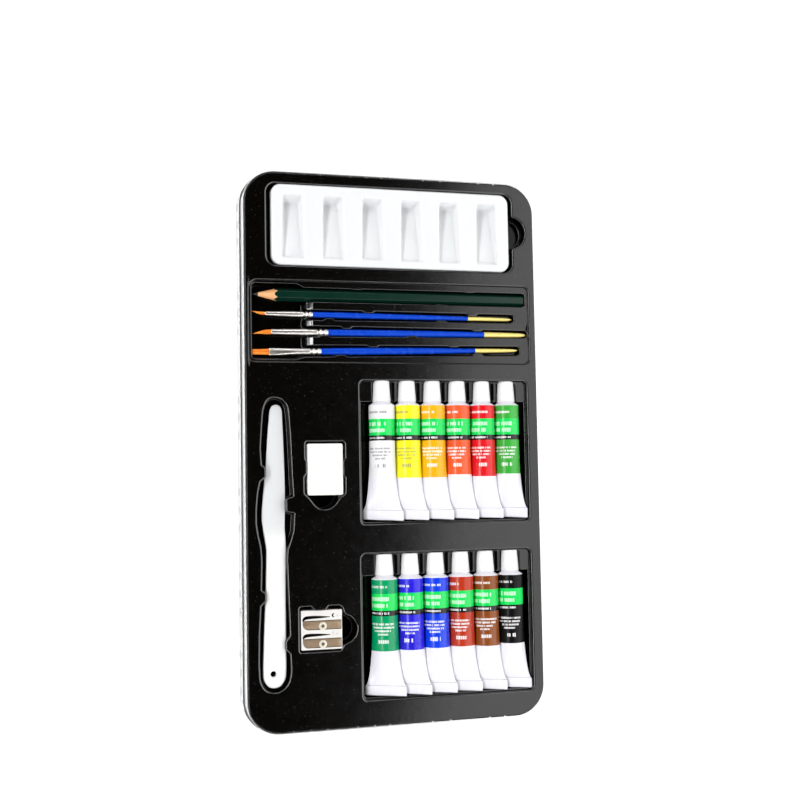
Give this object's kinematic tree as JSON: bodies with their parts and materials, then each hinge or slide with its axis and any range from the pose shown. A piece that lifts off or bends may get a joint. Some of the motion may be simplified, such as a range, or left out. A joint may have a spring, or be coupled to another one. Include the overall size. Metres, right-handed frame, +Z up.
{
  "type": "paint box",
  "caption": "Shallow tin paint set: a moulded tray holding paint tubes, brushes, a pencil, palette, palette knife, eraser and sharpener, its lid nested under the base.",
  "frame": {"origin": "centre of the flat underside", "axes": "+Z up out of the open tin, +Y along its length towards the palette, +X towards the tubes"},
  "size_m": [0.1898, 0.3386, 0.026],
  "materials": {
    "tin": "satin, bright tin plate",
    "tray_plastic": "satin, vacuum formed",
    "palette_plastic": "gloss",
    "pencil_wood": "gloss lacquer, bare sharpened end",
    "graphite": "dull",
    "brush_handle": "gloss lacquer",
    "ferrule_metal": "polished",
    "bristle": "satin",
    "knife_plastic": "satin",
    "eraser_rubber": "matt",
    "sharpener_metal": "satin",
    "blade_steel": "satin",
    "screw_metal": "satin",
    "cap_plastic": "satin",
    "tube_white": "gloss print on a soft laminate tube",
    "tube_lemon_yellow": "gloss print on a soft laminate tube",
    "tube_deep_yellow": "gloss print on a soft laminate tube",
    "tube_orange_red": "gloss print on a soft laminate tube",
    "tube_red": "gloss print on a soft laminate tube",
    "tube_light_green": "gloss print on a soft laminate tube",
    "tube_emerald": "gloss print on a soft laminate tube",
    "tube_ultramarine": "gloss print on a soft laminate tube",
    "tube_blue": "gloss print on a soft laminate tube",
    "tube_red_brown": "gloss print on a soft laminate tube",
    "tube_brown": "gloss print on a soft laminate tube",
    "tube_black": "gloss print on a soft laminate tube"
  },
  "bodies": {
    "lid": {"tin_lid": "tin"},
    "base": {"tin_base": "tin", "tray": "tray_plastic"},
    "palette": {"palette": "palette_plastic"},
    "pencil": {"pencil_barrel": "pencil_wood", "pencil_lead": "graphite"},
    "small_brush": {"brush_small_handle": "brush_handle", "brush_small_ferrule": "ferrule_metal", "brush_small_bristles": "bristle"},
    "large_brush": {"brush_large_handle": "brush_handle", "brush_large_ferrule": "ferrule_metal", "brush_large_bristles": "bristle"},
    "flat_brush": {"brush_flat_handle": "brush_handle", "brush_flat_ferrule": "ferrule_metal", "brush_flat_bristles": "bristle"},
    "knife": {"palette_knife": "knife_plastic"},
    "eraser": {"eraser": "eraser_rubber"},
    "sharpener": {"sharpener_body": "sharpener_metal", "sharpener_blade_1": "blade_steel", "sharpener_blade_2": "blade_steel", "sharpener_screws": "screw_metal"},
    "tube_light_green": {"tube_light_green": "tube_light_green"},
    "cap_light_green": {"cap_light_green": "cap_plastic"},
    "tube_red": {"tube_red": "tube_red"},
    "cap_red": {"cap_red": "cap_plastic"},
    "tube_orange_red": {"tube_orange_red": "tube_orange_red"},
    "cap_orange_red": {"cap_orange_red": "cap_plastic"},
    "tube_deep_yellow": {"tube_deep_yellow": "tube_deep_yellow"},
    "cap_deep_yellow": {"cap_deep_yellow": "cap_plastic"},
    "tube_lemon_yellow": {"tube_lemon_yellow": "tube_lemon_yellow"},
    "cap_lemon_yellow": {"cap_lemon_yellow": "cap_plastic"},
    "tube_white": {"tube_white": "tube_white"},
    "cap_white": {"cap_white": "cap_plastic"},
    "tube_black": {"tube_black": "tube_black"},
    "cap_black": {"cap_black": "cap_plastic"},
    "tube_brown": {"tube_brown": "tube_brown"},
    "cap_brown": {"cap_brown": "cap_plastic"},
    "tube_red_brown": {"tube_red_brown": "tube_red_brown"},
    "cap_red_brown": {"cap_red_brown": "cap_plastic"},
    "tube_blue": {"tube_blue": "tube_blue"},
    "cap_blue": {"cap_blue": "cap_plastic"},
    "tube_ultramarine": {"tube_ultramarine": "tube_ultramarine"},
    "cap_ultramarine": {"cap_ultramarine": "cap_plastic"},
    "tube_emerald": {"tube_emerald": "tube_emerald"},
    "cap_emerald": {"cap_emerald": "cap_plastic"}
  },
  "joints": [
    {"name": "base_out_of_lid", "type": "slide", "parent": "lid", "child": "base", "axis": [0, 0, 1], "range_m": [0, 0.025]},
    {"name": "palette_lift", "type": "slide", "parent": "base", "child": "palette", "axis": [0, 0, 1], "range_m": [0, 0.02]},
    {"name": "pencil_lift", "type": "slide", "parent": "base", "child": "pencil", "axis": [0, 0, 1], "range_m": [0, 0.02]},
    {"name": "small_brush_lift", "type": "slide", "parent": "base", "child": "small_brush", "axis": [0, 0, 1], "range_m": [0, 0.02]},
    {"name": "large_brush_lift", "type": "slide", "parent": "base", "child": "large_brush", "axis": [0, 0, 1], "range_m": [0, 0.02]},
    {"name": "flat_brush_lift", "type": "slide", "parent": "base", "child": "flat_brush", "axis": [0, 0, 1], "range_m": [0, 0.02]},
    {"name": "knife_lift", "type": "slide", "parent": "base", "child": "knife", "axis": [0, 0, 1], "range_m": [0, 0.02]},
    {"name": "eraser_lift", "type": "slide", "parent": "base", "child": "eraser", "axis": [0, 0, 1], "range_m": [0, 0.025]},
    {"name": "sharpener_lift", "type": "slide", "parent": "base", "child": "sharpener", "axis": [0, 0, 1], "range_m": [0, 0.025]},
    {"name": "tube_light_green_lift", "type": "slide", "parent": "base", "child": "tube_light_green", "axis": [0, 0, 1], "range_m": [0, 0.024]},
    {"name": "cap_light_green_turn", "type": "hinge", "parent": "tube_light_green", "child": "cap_light_green", "pos_m": [0.07355, 0.0351, 0.018], "axis": [0, 1, 0], "range_deg": [0, 720]},
    {"name": "tube_red_lift", "type": "slide", "parent": "tube_light_green", "child": "tube_red", "axis": [0, 0, 1], "range_m": [0, 0.024]},
    {"name": "cap_red_turn", "type": "hinge", "parent": "tube_red", "child": "cap_red", "pos_m": [0.05718, 0.0351, 0.018], "axis": [0, 1, 0], "range_deg": [0, 720]},
    {"name": "tube_orange_red_lift", "type": "slide", "parent": "tube_red", "child": "tube_orange_red", "axis": [0, 0, 1], "range_m": [0, 0.024]},
    {"name": "cap_orange_red_turn", "type": "hinge", "parent": "tube_orange_red", "child": "cap_orange_red", "pos_m": [0.04081, 0.0351, 0.018], "axis": [0, 1, 0], "range_deg": [0, 720]},
    {"name": "tube_deep_yellow_lift", "type": "slide", "parent": "tube_orange_red", "child": "tube_deep_yellow", "axis": [0, 0, 1], "range_m": [0, 0.024]},
    {"name": "cap_deep_yellow_turn", "type": "hinge", "parent": "tube_deep_yellow", "child": "cap_deep_yellow", "pos_m": [0.02444, 0.0351, 0.018], "axis": [0, 1, 0], "range_deg": [0, 720]},
    {"name": "tube_lemon_yellow_lift", "type": "slide", "parent": "tube_deep_yellow", "child": "tube_lemon_yellow", "axis": [0, 0, 1], "range_m": [0, 0.024]},
    {"name": "cap_lemon_yellow_turn", "type": "hinge", "parent": "tube_lemon_yellow", "child": "cap_lemon_yellow", "pos_m": [0.00807, 0.0351, 0.018], "axis": [0, 1, 0], "range_deg": [0, 720]},
    {"name": "tube_white_lift", "type": "slide", "parent": "tube_lemon_yellow", "child": "tube_white", "axis": [0, 0, 1], "range_m": [0, 0.024]},
    {"name": "cap_white_turn", "type": "hinge", "parent": "tube_white", "child": "cap_white", "pos_m": [-0.0083, 0.0351, 0.018], "axis": [0, 1, 0], "range_deg": [0, 720]},
    {"name": "tube_black_lift", "type": "slide", "parent": "base", "child": "tube_black", "axis": [0, 0, 1], "range_m": [0, 0.024]},
    {"name": "cap_black_turn", "type": "hinge", "parent": "tube_black", "child": "cap_black", "pos_m": [0.07355, -0.07095, 0.018], "axis": [0, 1, 0], "range_deg": [0, 720]},
    {"name": "tube_brown_lift", "type": "slide", "parent": "tube_black", "child": "tube_brown", "axis": [0, 0, 1], "range_m": [0, 0.024]},
    {"name": "cap_brown_turn", "type": "hinge", "parent": "tube_brown", "child": "cap_brown", "pos_m": [0.05718, -0.07095, 0.018], "axis": [0, 1, 0], "range_deg": [0, 720]},
    {"name": "tube_red_brown_lift", "type": "slide", "parent": "tube_brown", "child": "tube_red_brown", "axis": [0, 0, 1], "range_m": [0, 0.024]},
    {"name": "cap_red_brown_turn", "type": "hinge", "parent": "tube_red_brown", "child": "cap_red_brown", "pos_m": [0.04081, -0.07095, 0.018], "axis": [0, 1, 0], "range_deg": [0, 720]},
    {"name": "tube_blue_lift", "type": "slide", "parent": "tube_red_brown", "child": "tube_blue", "axis": [0, 0, 1], "range_m": [0, 0.024]},
    {"name": "cap_blue_turn", "type": "hinge", "parent": "tube_blue", "child": "cap_blue", "pos_m": [0.02444, -0.07095, 0.018], "axis": [0, 1, 0], "range_deg": [0, 720]},
    {"name": "tube_ultramarine_lift", "type": "slide", "parent": "tube_blue", "child": "tube_ultramarine", "axis": [0, 0, 1], "range_m": [0, 0.024]},
    {"name": "cap_ultramarine_turn", "type": "hinge", "parent": "tube_ultramarine", "child": "cap_ultramarine", "pos_m": [0.00807, -0.07095, 0.018], "axis": [0, 1, 0], "range_deg": [0, 720]},
    {"name": "tube_emerald_lift", "type": "slide", "parent": "tube_ultramarine", "child": "tube_emerald", "axis": [0, 0, 1], "range_m": [0, 0.024]},
    {"name": "cap_emerald_turn", "type": "hinge", "parent": "tube_emerald", "child": "cap_emerald", "pos_m": [-0.0083, -0.07095, 0.018], "axis": [0, 1, 0], "range_deg": [0, 720]}
  ]
}
